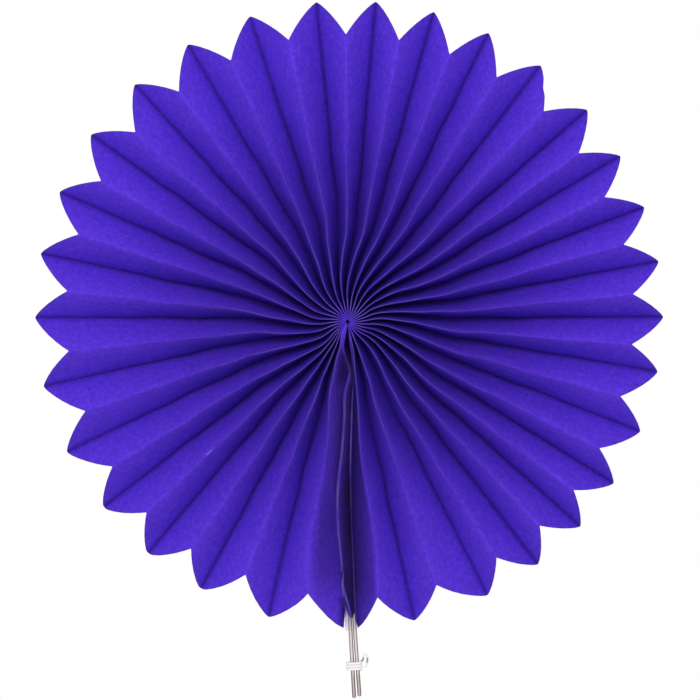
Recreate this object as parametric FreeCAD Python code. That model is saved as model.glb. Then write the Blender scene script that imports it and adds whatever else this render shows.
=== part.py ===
import FreeCAD, Part
import math
import os

# A paper fan rosette: a long strip of tissue paper, fan folded and opened into a full ring.
# Seen from the front, along +Y, +X is to the right and +Z is up. The origin is the centre of the
# hub, half way through the rosette's depth. Bearings run clockwise from the top, in degrees.
# Ridges are the folds nearest the viewer and valleys are the folds farthest away. The rim is cut
# to petals: each petal's tip is at the end of a valley, and each notch at the end of a ridge.

# Driving sizes of the sheet, in millimetres
TIP_RADIUS = 200.0
NOTCH_RADIUS = 176.7
PETAL_BULGE = 1.6          # how far a petal's cut edge stands out of its chord
PANEL_WIDTH = 27.0         # flat width of the paper between two folds
PAPER = 0.5                # wall of the gathered tissue, with the air between its layers
EYE_RADIUS = 1.2           # opening that the gathered folds leave at the centre
SEAM_HUB_WIDTH = 0.6       # gap between the sheet's two ends where they reach the hub
SEAM_NOTCH = 4.5           # how far the strip behind the seam stops short of the petals' tips

# How the folds lie. Fold 0 is the sheet's free edge left of the seam, odd folds are ridges, even
# folds are valleys, and the last fold is the free edge right of the seam. Only the folds where the
# spacing changes are given, with their bearings at the rim, and those between are evenly spread.
FOLD_BEARINGS = {
    0: 181.3, 4: 208.6, 9: 238.3, 14: 270.3, 19: 299.7, 24: 329.8, 28: 354.3, 31: 370.3, 35: 391.3,
    38: 408.7, 43: 434.3, 48: 459.6, 51: 476.7, 55: 496.8, 58: 513.3, 59: 521.4, 61: 533.8, 62: 538.8,
}
LAST_FOLD = max(FOLD_BEARINGS)
HUB_BEARING = 176.0        # bearing of fold 0 where it reaches the hub
SWIRL = 13.0               # how far the folds have turned back just outside the hub, in degrees
SWIRL_START = 16.0         # radius within which the whole swirl is reached
SWIRL_END = 70.0           # radius outside which the folds run straight
GATHER_END = 28.0          # radius at which the folds have left their even spacing at the hub
SEAM_BOW = 5.0             # how far the sheet's left end bows away from the seam, half way out
BOWED_FOLDS = {0: 1.0, 1: 0.9, 2: 0.6, 3: 0.3}     # share of that bow which each fold follows

# The paper is built of flat facets. Their corners lie on the folds, closer together near the hub.
FOLD_SPANS = 9             # facets along a fold, from the hub to the rim
PETAL_SPANS = 4            # straight stretches along a panel's cut edge

# The two stays that stiffen the sheet's ends and come out under the rim as the stem. Each has four
# places: its top near the hub, its middle, where it comes out under the rim, and its foot.
STAY_RADIUS = 1.3
GLUE_GAP = 0.4             # clearance of what is glued behind the seam
STAY_TOP = 18.0            # distance from the hub's centre at which the stays begin
STAY_RIM_INSET = 9.0       # where they bend into the stem, inside the petals' tips
LEFT_STAY_SIDES = (-1.6, -1.5, 0.9, 4.2)
LEFT_STAY_STEM = 47.1      # length that stands out beyond the petals' tips
RIGHT_STAY_SIDES = (1.4, 1.7, 3.65, 6.95)
RIGHT_STAY_STEM = 46.0

# The cord wound round both stays under the rim, which ends in a small loop at the right
TIE_DROP = 26.1            # distance from the petals' tips to the middle of the tie
TIE_CORD_RADIUS = 0.86
TIE_TURNS = 3
TIE_PITCH = 1.85
TIE_CLEARANCE = 0.32
TIE_SLACK = 0.9            # how much wider the turns stand out at the left
LOOP_CORD_RADIUS = 0.55
LOOP_ROUTE = ((5.3, 4.6), (5.6, 6.9), (6.7, 8.0), (7.8, 6.7), (8.0, 3.6), (7.4, 0.6), (6.3, -1.2))
CORD_SIDES = 8             # the cord's section is drawn with this many flat sides
TURN_STEPS = 12            # straight runs in one turn of the cord

# The end of the adhesive tape that shows left of the stays at the foot of the seam
TAPE_THICKNESS = 0.3
TAPE_LENGTH = 52.5
TAPE_REACH = 2.5           # how far its foot stands out below the petals' tips
TAPE_TOP_SIDES = (-3.8, -1.6)
TAPE_FOOT_SIDES = (-2.5, 0.0)

# The thread that draws the folds together round the eye
THREAD_THICKNESS = 0.6
THREAD_CLEARANCE = 0.1
THREAD_SIDES = 12

# Sizes that follow from those above
HUB_RADIUS = (LAST_FOLD * PAPER + SEAM_HUB_WIDTH) / (2 * math.pi)
HUB_PITCH = math.degrees(PAPER / HUB_RADIUS)


def at_bearing(radius, bearing, depth):
    """Point at a radius and a bearing, at a depth behind the middle plane."""
    angle = math.radians(bearing)
    return FreeCAD.Vector(radius * math.sin(angle), depth, radius * math.cos(angle))


def fold_section(radius):
    """Half the rosette's depth at a radius, and half the width of a folded edge there."""
    pitch = 2 * math.pi * radius / LAST_FOLD
    crest = PAPER
    for _ in range(30):
        slope = math.asin(max(0.0, min(0.99, (pitch - crest) / PANEL_WIDTH)))
        crest = PAPER * (1 - math.sin(slope)) / math.cos(slope)
    half_depth = (PANEL_WIDTH * math.cos(slope) + PAPER) / 2
    return half_depth, crest


def hub_section():
    """Half depth and half edge width where the folds are gathered tight at the hub."""
    return (PANEL_WIDTH + PAPER) / 2, PAPER


def rim_bearing(fold):
    """Bearing of a fold at the rim, between the stated ones."""
    stated = sorted(FOLD_BEARINGS)
    before = max(known for known in stated if known <= fold)
    if before == fold:
        return FOLD_BEARINGS[fold]
    after = min(known for known in stated if known > fold)
    share = (fold - before) / (after - before)
    return FOLD_BEARINGS[before] + share * (FOLD_BEARINGS[after] - FOLD_BEARINGS[before])


def swirl_share(fold):
    """How much of the swirl a fold takes: the folds beside the seam are held back by it."""
    from_left = min(1.0, max(0.0, (fold - 1) / 5))
    from_right = min(1.0, max(0.25, (LAST_FOLD - fold - 2) / 4))
    return min(from_left, from_right)


def free_bearing(fold, radius):
    """Bearing of a fold at a radius, with the swirl and the bow but without the gather."""
    inside = min(1.0, max(0.0, (SWIRL_END - radius) / (SWIRL_END - SWIRL_START)))
    turned = SWIRL * inside ** 2 * swirl_share(fold)
    outwards = (radius - HUB_RADIUS) / (TIP_RADIUS - HUB_RADIUS)
    bow = SEAM_BOW * BOWED_FOLDS.get(fold, 0.0) * max(0.0, math.sin(math.pi * outwards))
    return rim_bearing(fold) - turned + math.degrees(bow / radius)


def fold_bearing(fold, radius):
    """Bearing of a fold at a radius: gathered evenly at the hub, spread as at the rim outside."""
    gathered = HUB_BEARING + fold * HUB_PITCH
    inside = min(1.0, max(0.0, (GATHER_END - radius) / (GATHER_END - HUB_RADIUS)))
    weight = inside ** 2
    return weight * gathered + (1 - weight) * free_bearing(fold, radius)


def is_ridge(fold):
    """Whether a fold is one of those nearest the viewer."""
    return fold % 2 == 1


def fold_stations(fold):
    """Radii of the facets' corners along a fold, from the hub to the fold's own end at the rim."""
    growth = (NOTCH_RADIUS / HUB_RADIUS) ** (1 / FOLD_SPANS)
    inner = [HUB_RADIUS * growth ** span for span in range(FOLD_SPANS)]
    return inner + [NOTCH_RADIUS if is_ridge(fold) else TIP_RADIUS]


def fold_line(fold, side, front):
    """Corners of the facets along one edge of a fold.

    side is -1, 0 or 1: the left edge of the flat crest, its inner corner, or its right edge.
    front tells whether the line is on the sheet's front face or its back face.
    """
    points = []
    for radius in fold_stations(fold):
        half_depth, crest = hub_section() if radius == HUB_RADIUS else fold_section(radius)
        outer = -half_depth if is_ridge(fold) else half_depth
        inner = outer + PAPER if is_ridge(fold) else outer - PAPER
        depth = outer if front == is_ridge(fold) else inner
        bearing = fold_bearing(fold, radius) + side * math.degrees(crest / radius)
        points.append(at_bearing(radius, bearing, depth))
    return points


def polygon_face(points):
    """Plane face with straight sides."""
    return Part.Face(Part.makePolygon(points + [points[0]]))


def strip_faces(left, right):
    """Flat facets between two lines that have as many corners each."""
    faces = []
    for a, b, c, d in zip(left, right, right[1:], left[1:]):
        faces += [polygon_face([a, b, c]), polygon_face([a, c, d])]
    return faces


def cut_edge(start, end, bulge):
    """Corners along a panel's cut edge, standing out of its chord by the bulge at the middle."""
    middle = (start + end) * 0.5
    outwards = FreeCAD.Vector(middle.x, 0, middle.z).normalize()
    corners = []
    for step in range(PETAL_SPANS + 1):
        share = step / PETAL_SPANS
        rise = 4 * bulge * share * (1 - share)
        corners.append(start + (end - start) * share + outwards * rise)
    return corners


def end_faces(left, right, edge):
    """Facets of a panel's outermost stretch, from its last two inner corners to its cut edge."""
    half = len(edge) // 2
    faces = [polygon_face([left, a, b]) for a, b in zip(edge[:half], edge[1:half + 1])]
    faces += [polygon_face([right, a, b]) for a, b in zip(edge[half:], edge[half + 1:])]
    return faces + [polygon_face([left, edge[half], right])]


def panel_lines(fold):
    """Lines that bound the panel after a fold: front left and right, then back left and right."""
    if is_ridge(fold):
        return (fold_line(fold, 1, True), fold_line(fold + 1, 0, True),
                fold_line(fold, 0, False), fold_line(fold + 1, -1, False))
    return (fold_line(fold, 0, True), fold_line(fold + 1, -1, True),
            fold_line(fold, 1, False), fold_line(fold + 1, 0, False))


def panel_faces(front_left, front_right, back_left, back_right, bulge):
    """Front, back and cut edge of one panel of the sheet."""
    front_edge = cut_edge(front_left[-1], front_right[-1], bulge)
    back_edge = cut_edge(back_left[-1], back_right[-1], bulge)
    faces = strip_faces(front_left[:-1], front_right[:-1]) + strip_faces(back_left[:-1], back_right[:-1])
    faces += end_faces(front_left[-2], front_right[-2], front_edge)
    faces += end_faces(back_left[-2], back_right[-2], back_edge)
    return faces + strip_faces(front_edge, back_edge)


def crest_faces(fold):
    """The flat outer edge of a fold, and the small triangle where it ends at the rim."""
    front = is_ridge(fold)
    left, right = fold_line(fold, -1, front), fold_line(fold, 1, front)
    inner = fold_line(fold, 0, not front)
    return strip_faces(left, right) + [polygon_face([left[-1], right[-1], inner[-1]])]


def seam_faces():
    """The narrow strip that joins the sheet's two free edges at the bottom of the seam."""
    front_left, front_right = fold_line(LAST_FOLD, 0, True), fold_line(0, 0, True)
    back_left, back_right = fold_line(LAST_FOLD, -1, False), fold_line(0, 1, False)
    faces = panel_faces(front_left, front_right, back_left, back_right, -SEAM_NOTCH)
    ridge_before, ridge_after = fold_line(LAST_FOLD - 1, 1, True), fold_line(1, -1, True)
    faces.append(polygon_face([front_left[0], front_right[0], ridge_after[0], ridge_before[0]]))
    return faces


def hub_faces():
    """The gathered folds' two flat ends at the hub, in front and behind."""
    half_depth, _ = hub_section()
    valleys = [at_bearing(HUB_RADIUS, fold_bearing(fold, HUB_RADIUS), -half_depth)
               for fold in range(0, LAST_FOLD + 1, 2)]
    ridges = [at_bearing(HUB_RADIUS, fold_bearing(fold, HUB_RADIUS), half_depth)
              for fold in range(1, LAST_FOLD, 2)]
    return [polygon_face(valleys), polygon_face(ridges)]


def sewn_solid(faces):
    """Closed solid from faces that share their edges."""
    skin = Part.Compound(faces)
    skin.sewShape(0.001)
    solid = Part.Solid(skin.Shells[0])
    if solid.Volume < 0:
        solid.reverse()
    return solid


def many_sided_bar(radius, half_length):
    """Bar along the rosette's depth, with flat sides and its corners at a radius."""
    corners = [at_bearing(radius, 360 * side / THREAD_SIDES, -half_length) for side in range(THREAD_SIDES)]
    return polygon_face(corners).extrude(FreeCAD.Vector(0, 2 * half_length, 0))


def thread_slot():
    """The room for the thread in the folds, with its corners' radius and half its depth."""
    return EYE_RADIUS + THREAD_THICKNESS + 2 * THREAD_CLEARANCE, THREAD_THICKNESS / 2 + THREAD_CLEARANCE


def pleated_sheet():
    """The whole folded sheet, closed behind its seam, with the eye through its gathered centre."""
    faces = hub_faces() + seam_faces()
    for fold in range(LAST_FOLD):
        faces += panel_faces(*panel_lines(fold), PETAL_BULGE)
    for fold in range(1, LAST_FOLD):
        faces += crest_faces(fold)
    sheet = sewn_solid(faces)
    eye_length = 2 * PANEL_WIDTH
    front = FreeCAD.Vector(0, -eye_length / 2, 0)
    eye = Part.makeCylinder(EYE_RADIUS, eye_length, front, FreeCAD.Vector(0, 1, 0))
    return sheet.cut(eye.fuse(many_sided_bar(*thread_slot())))


def centre_thread():
    """Ring of thread in the folds round the eye."""
    slot_radius, half_slot = thread_slot()
    half_length = half_slot - THREAD_CLEARANCE
    ring = many_sided_bar(slot_radius - THREAD_CLEARANCE, half_length)
    return ring.cut(many_sided_bar(slot_radius - THREAD_CLEARANCE - THREAD_THICKNESS, half_length))


def behind_seam(height):
    """Depth just behind the seam strip at a height, clear of the paper."""
    half_depth, _ = fold_section(min(-height, TIP_RADIUS))
    return half_depth + GLUE_GAP


def stay_points(sides, stem):
    """Corners of a stay's centre line, from its top near the hub to its foot."""
    middle = (STAY_TOP + TIP_RADIUS) / 2
    heights = (-STAY_TOP, -middle, STAY_RIM_INSET - TIP_RADIUS, -TIP_RADIUS - stem)
    return [FreeCAD.Vector(x, behind_seam(z) + STAY_RADIUS, z) for x, z in zip(sides, heights)]


def stay(sides, stem):
    """Round stay glued behind the seam, with its lower end standing out under the rim."""
    points = stay_points(sides, stem)
    section = Part.Wire(Part.Circle(points[0], points[1] - points[0], STAY_RADIUS).toShape())
    mitred = 1
    return Part.makePolygon(points).makePipeShell([section], True, False, mitred)


def stem_at(sides, stem, height):
    """Centre of a stay at a height below the rim."""
    rim, foot = stay_points(sides, stem)[2:]
    return rim + (foot - rim) * ((height - rim.z) / (foot.z - rim.z))


def tie_route():
    """Corners of the tie's cord, with its radius at each: up round both stays, then out to the loop."""
    height = -TIP_RADIUS - TIE_DROP
    left = stem_at(LEFT_STAY_SIDES, LEFT_STAY_STEM, height)
    right = stem_at(RIGHT_STAY_SIDES, RIGHT_STAY_STEM, height)
    above = stem_at(LEFT_STAY_SIDES, LEFT_STAY_STEM, height + 1)
    lean = above - left
    middle, half_gap = (left + right) * 0.5, (right - left).Length / 2
    wrap = STAY_RADIUS + TIE_CLEARANCE + TIE_CORD_RADIUS
    route = []
    for step in range(TIE_TURNS * TURN_STEPS + 1):
        turned = 2 * math.pi * step / TURN_STEPS
        sideways = half_gap * max(-1.0, min(1.0, 2 * math.cos(turned))) + wrap * math.cos(turned)
        sideways -= TIE_SLACK * (1 - math.cos(turned)) / 2
        rise = TIE_PITCH * (step / TURN_STEPS - TIE_TURNS / 2)
        route.append((middle + FreeCAD.Vector(sideways, wrap * math.sin(turned), 0) + lean * rise, TIE_CORD_RADIUS))
    for sideways, rise in LOOP_ROUTE:
        route.append((middle + FreeCAD.Vector(sideways, 0, rise), LOOP_CORD_RADIUS))
    return route


def cord_rings(route):
    """Section of a cord at each corner of its route, square to the way it runs there."""
    centres = [centre for centre, _ in route]
    sideways = FreeCAD.Vector(0, 0, 1)
    rings = []
    for index, (centre, radius) in enumerate(route):
        ahead = centres[min(index + 1, len(centres) - 1)] - centres[max(index - 1, 0)]
        ahead.normalize()
        sideways = (sideways - ahead * sideways.dot(ahead)).normalize()
        upwards = ahead.cross(sideways)
        ring = []
        for side in range(CORD_SIDES):
            angle = 2 * math.pi * side / CORD_SIDES
            ring.append(centre + (sideways * math.cos(angle) + upwards * math.sin(angle)) * radius)
        rings.append(ring)
    return rings


def stem_tie():
    """The white cord round both stays: one length, wound in turns and ending in a small loop."""
    rings = cord_rings(tie_route())
    faces = [polygon_face(rings[0]), polygon_face(rings[-1])]
    for ring, following in zip(rings, rings[1:]):
        faces += strip_faces(ring + ring[:1], following + following[:1])
    return sewn_solid(faces)


def adhesive_strip():
    """Flat end of the tape behind the seam, left of the stays."""
    foot = -TIP_RADIUS - TAPE_REACH
    top = foot + TAPE_LENGTH
    outline = [FreeCAD.Vector(x, behind_seam(top), top) for x in TAPE_TOP_SIDES]
    outline += [FreeCAD.Vector(x, behind_seam(foot), foot) for x in reversed(TAPE_FOOT_SIDES)]
    return polygon_face(outline).extrude(FreeCAD.Vector(0, TAPE_THICKNESS, 0))


PIECES = {
    "pleated_sheet": pleated_sheet(),
    "centre_thread": centre_thread(),
    "left_stay": stay(LEFT_STAY_SIDES, LEFT_STAY_STEM),
    "right_stay": stay(RIGHT_STAY_SIDES, RIGHT_STAY_STEM),
    "stem_tie": stem_tie(),
    "adhesive_strip": adhesive_strip(),
}

os.makedirs("parts", exist_ok=True)
for name, shape in PIECES.items():
    shape.exportStep("parts/" + name + ".step")
    print(name, "solids", len(shape.Solids), "valid", shape.isValid(), "volume", round(shape.Volume, 1))
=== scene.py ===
"""Looks of a paper fan rosette: folded violet tissue paper, two tied stays and a plain studio.

Sizes of the object are in millimetres and become metres where a mesh is made. Bearings run
clockwise from the top, seen from the front, in degrees. Depth runs away from the viewer, along +Y.
"""

import logging
import math
from dataclasses import dataclass, field
from enum import Enum

import bpy
import numpy as np
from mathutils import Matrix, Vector


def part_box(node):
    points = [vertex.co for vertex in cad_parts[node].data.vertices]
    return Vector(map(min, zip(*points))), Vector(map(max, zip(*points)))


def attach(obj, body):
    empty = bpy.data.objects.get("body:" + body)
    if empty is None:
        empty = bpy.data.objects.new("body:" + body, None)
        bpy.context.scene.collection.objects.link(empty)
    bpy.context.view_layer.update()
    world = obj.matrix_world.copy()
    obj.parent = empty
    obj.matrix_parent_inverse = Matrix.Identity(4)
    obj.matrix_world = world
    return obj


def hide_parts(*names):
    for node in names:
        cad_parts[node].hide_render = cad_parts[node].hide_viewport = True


LOG = logging.getLogger("paper_fan")
METRES_PER_MM = 0.001
PHOTO_SIDE = 700

Stops = tuple[tuple[float, float], ...]        # place and value of each stop of a curve
ColourStops = tuple[tuple[float, str], ...]
Fade = tuple[float, float, float]              # strength, where it starts and where it is full
Faces = list[tuple[int, ...]]
Output = tuple[bpy.types.Node, int | str]      # a node, and one of its outputs

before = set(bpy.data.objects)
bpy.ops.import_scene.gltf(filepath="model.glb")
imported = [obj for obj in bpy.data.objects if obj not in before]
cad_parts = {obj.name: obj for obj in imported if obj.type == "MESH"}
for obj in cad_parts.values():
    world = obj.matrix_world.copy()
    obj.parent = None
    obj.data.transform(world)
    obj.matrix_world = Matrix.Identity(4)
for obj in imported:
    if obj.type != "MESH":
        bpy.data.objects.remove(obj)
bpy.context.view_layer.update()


class Slot(Enum):
    """The record's material slots, by what they finish."""

    PAPER = "tissue_paper"
    THREAD = "thread"
    STAY = "stay"
    CORD = "tie_cord"
    TAPE = "tape"


class Side(Enum):
    """The two faces of the sheet."""

    FRONT = "front"
    BACK = "back"


def linear(hex_colour: str) -> tuple[float, float, float, float]:
    """Turns an sRGB hex colour into a linear one.

    Args:
        hex_colour: Six hex digits after a hash sign.

    Returns:
        Red, green, blue and a full alpha.
    """
    channels = [int(hex_colour[start:start + 2], 16) / 255 for start in (1, 3, 5)]
    low = [value / 12.92 for value in channels]
    high = [((value + 0.055) / 1.055) ** 2.4 for value in channels]
    red, green, blue = (lo if value <= 0.04045 else hi for value, lo, hi in zip(channels, low, high))
    return red, green, blue, 1.0


def fade(values: np.ndarray, start: float, end: float) -> np.ndarray:
    """Rises smoothly from 0 at start to 1 at end, which may be the smaller of the two."""
    share = np.clip((values - start) / (end - start), 0.0, 1.0)
    return share * share * (3 - 2 * share)


def faded(values: np.ndarray, rule: Fade) -> np.ndarray:
    """Reads a fade whose rule says its strength, where it starts and where it is full."""
    strength, start, end = rule
    return strength * fade(values, start, end)


def curve_through(stops: Stops, places: np.ndarray) -> np.ndarray:
    """Reads a smooth curve through a few stops.

    Args:
        stops: Pairs of place and value, in rising order of place.
        places: Where the curve is read.

    Returns:
        The curve's values, held level beyond its ends.
    """
    xs, ys = (np.array(column, dtype=float) for column in zip(*stops))
    slopes = np.gradient(ys, xs)
    at = np.clip(places, xs[0], xs[-1])
    left = np.clip(np.searchsorted(xs, at, side="right") - 1, 0, len(xs) - 2)
    width = xs[left + 1] - xs[left]
    share = (at - xs[left]) / width
    rise = share * share * (3 - 2 * share)
    from_left = share * (1 - share) ** 2 * width * slopes[left]
    from_right = share * share * (share - 1) * width * slopes[left + 1]
    return ys[left] + (ys[left + 1] - ys[left]) * rise + from_left + from_right


def add_node(tree: bpy.types.NodeTree, kind: str, settings: dict | None = None, values: dict | None = None,
             links: dict | None = None) -> bpy.types.Node:
    """Adds a shader node.

    Args:
        tree: The material's node tree.
        kind: Blender's name for the node's type.
        settings: Properties of the node itself, by name.
        values: Default values of its sockets, by name or number.
        links: What feeds its sockets: by socket, a node and the name or number of its output.

    Returns:
        The new node.
    """
    node = tree.nodes.new(kind)
    for name, value in (settings or {}).items():
        setattr(node, name, value)
    for socket, value in (values or {}).items():
        node.inputs[socket].default_value = value
    for socket, (source, output) in (links or {}).items():
        tree.links.new(source.outputs[output], node.inputs[socket])
    return node


def new_material(name: str) -> tuple[bpy.types.Material, bpy.types.NodeTree, bpy.types.Node]:
    """Makes an empty node material.

    Args:
        name: The material's name.

    Returns:
        The material, its tree and its output node.
    """
    material = bpy.data.materials.new(name)
    material.use_nodes = True
    tree = material.node_tree
    tree.nodes.clear()
    return material, tree, add_node(tree, "ShaderNodeOutputMaterial")


def noise(tree: bpy.types.NodeTree, grain_mm: float, detail: float, place: bpy.types.Node,
          roughness: float = 0.55) -> bpy.types.Node:
    """Adds a noise texture whose blotches measure about grain_mm across."""
    return add_node(tree, "ShaderNodeTexNoise", links={"Vector": (place, "Object")}, values={
        "Scale": 1 / (grain_mm * METRES_PER_MM), "Detail": detail, "Roughness": roughness})


def ramp(tree: bpy.types.NodeTree, stops: ColourStops, source: bpy.types.Node) -> bpy.types.Node:
    """Adds a colour ramp.

    Args:
        tree: The material's node tree.
        stops: Place and sRGB hex colour of each stop.
        source: The noise texture that it reads.

    Returns:
        The ramp node.
    """
    node = add_node(tree, "ShaderNodeValToRGB", links={"Fac": (source, "Fac")})
    elements = node.color_ramp.elements
    while len(elements) < len(stops):
        elements.new(1.0)
    for element, (position, colour) in zip(elements, stops):
        element.position = position
        element.color = linear(colour)
    return node


def stored(tree: bpy.types.NodeTree, name: str) -> tuple[bpy.types.Node, str]:
    """Adds a reader of the numbers that a mesh stores under a name, and names its output."""
    return add_node(tree, "ShaderNodeAttribute", {"attribute_name": name}), "Fac"


def tint(tree: bpy.types.NodeTree, colour: str, amount: Output, base: Output) -> bpy.types.Node:
    """Adds a mix of a base colour with another one by an amount; its output 2 is the colour."""
    return add_node(tree, "ShaderNodeMix", {"data_type": "RGBA"}, {7: linear(colour)}, {0: amount, 6: base})


def bumps(tree: bpy.types.NodeTree, strength: float, relief_mm: float, height: Output) -> bpy.types.Node:
    """Adds a fine relief whose shape comes from a node's output."""
    return add_node(tree, "ShaderNodeBump", links={"Height": height},
                    values={"Strength": strength, "Distance": relief_mm * METRES_PER_MM})


def mesh_object(name: str, points_mm: np.ndarray, faces: Faces, material: bpy.types.Material,
                sharp_deg: float = 40.0) -> bpy.types.Object:
    """Makes a smooth-shaded mesh object with its sharp folds kept.

    Args:
        name: The piece's name.
        points_mm: One row of x, y and z per corner, in millimetres.
        faces: Corner numbers of each face.
        material: Its finish.
        sharp_deg: Edges that turn more than this stay sharp.

    Returns:
        The new object, in the scene.
    """
    mesh = bpy.data.meshes.new(name)
    mesh.from_pydata((points_mm * METRES_PER_MM).tolist(), [], faces)
    mesh.materials.append(material)
    mesh.shade_smooth()
    mesh.set_sharp_from_angle(angle=math.radians(sharp_deg))
    piece = bpy.data.objects.new(name, mesh)
    bpy.context.scene.collection.objects.link(piece)
    return piece


def add_attribute(piece: bpy.types.Object, name: str, values: np.ndarray) -> None:
    """Stores one number per corner on a mesh, for its material to read."""
    numbers = values.astype(np.float32).ravel()
    piece.data.attributes.new(name, "FLOAT", "POINT").data.foreach_set("value", numbers)


def grid_faces(columns: int, rows: int, start: int = 0, flipped: bool = False) -> Faces:
    """Makes the quads of a grid whose corners are numbered row by row within each column.

    Args:
        columns: How many columns of corners it has.
        rows: How many corners are in each.
        start: Number of its first corner.
        flipped: Whether its faces look the other way.

    Returns:
        Corner numbers of each face.
    """
    faces = []
    for column in range(columns - 1):
        for row in range(rows - 1):
            a = start + column * rows + row
            quad = (a, a + 1, a + rows + 1, a + rows)
            faces.append(quad[::-1] if flipped else quad)
    return faces


def closed_shell(points: np.ndarray) -> tuple[np.ndarray, Faces]:
    """Joins two grids of points, one before the other, round their edges into one closed skin.

    Args:
        points: The front grid and the back grid: side, column, row and coordinate.

    Returns:
        One row per point, and the faces.
    """
    _, columns, rows, _ = points.shape
    count = columns * rows
    faces = grid_faces(columns, rows, flipped=True) + grid_faces(columns, rows, start=count)
    for column in range(columns - 1):
        a, b = column * rows, (column + 1) * rows
        faces.append((a, b, b + count, a + count))
        a, b = a + rows - 1, b + rows - 1
        faces.append((a, a + count, b + count, b))
    last = (columns - 1) * rows
    for row in range(rows - 1):
        faces.append((row, row + count, row + 1 + count, row + 1))
        a = last + row
        faces.append((a, a + 1, a + 1 + count, a + count))
    return points.reshape(-1, 3), faces


def tube(centres: np.ndarray, radii: np.ndarray, sides: int, plies: int, lay_mm: float,
         ply_depth: float) -> tuple[np.ndarray, Faces]:
    """Makes a closed tube along a line, out of twisted plies.

    Args:
        centres: Points of the line, in millimetres.
        radii: The tube's radius at each of them.
        sides: Corners round its section.
        plies: How many strands are twisted together.
        lay_mm: Length in which the plies make one turn.
        ply_depth: Depth of the grooves between plies, as a share of the radius.

    Returns:
        Its points and its faces.
    """
    ahead = np.gradient(centres, axis=0)
    ahead /= np.linalg.norm(ahead, axis=1)[:, None]
    sideways = np.cross(ahead[0], (0.0, 1.0, 0.0))
    angles = 2 * math.pi * np.arange(sides) / sides
    rings = []
    for centre, along, radius, length in zip(centres, ahead, radii, run_along(centres)):
        sideways = sideways - along * sideways.dot(along)
        sideways /= np.linalg.norm(sideways)
        upwards = np.cross(along, sideways)
        twist = 2 * math.pi * length / lay_mm
        reach = radius * (1 - ply_depth * (0.5 - 0.5 * np.cos(plies * (angles - twist))))
        across = np.outer(np.cos(angles) * reach, sideways)
        rings.append(centre + across + np.outer(np.sin(angles) * reach, upwards))
    faces = []
    for ring in range(len(rings) - 1):
        for side in range(sides):
            following = (side + 1) % sides
            a, b = ring * sides + side, ring * sides + following
            faces.append((a, b, b + sides, a + sides))
    last = (len(rings) - 1) * sides
    faces.append(tuple(reversed(range(sides))))
    faces.append(tuple(range(last, last + sides)))
    return np.concatenate(rings), faces


def run_along(points: np.ndarray) -> np.ndarray:
    """Measures the length from a line's start to each of its corners."""
    return np.concatenate([[0.0], np.cumsum(np.linalg.norm(np.diff(points, axis=0), axis=1))])


def smooth_line(corners: np.ndarray, steps: int) -> np.ndarray:
    """Reads a smooth line through some corners.

    Args:
        corners: One row of x, y and z per corner.
        steps: How many points are read, evenly spaced along the line.

    Returns:
        One row of x, y and z per point.
    """
    run = run_along(corners)
    places = np.linspace(0.0, run[-1], steps)
    return np.stack([curve_through(tuple(zip(run, corners[:, axis])), places) for axis in range(3)], axis=1)


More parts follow.
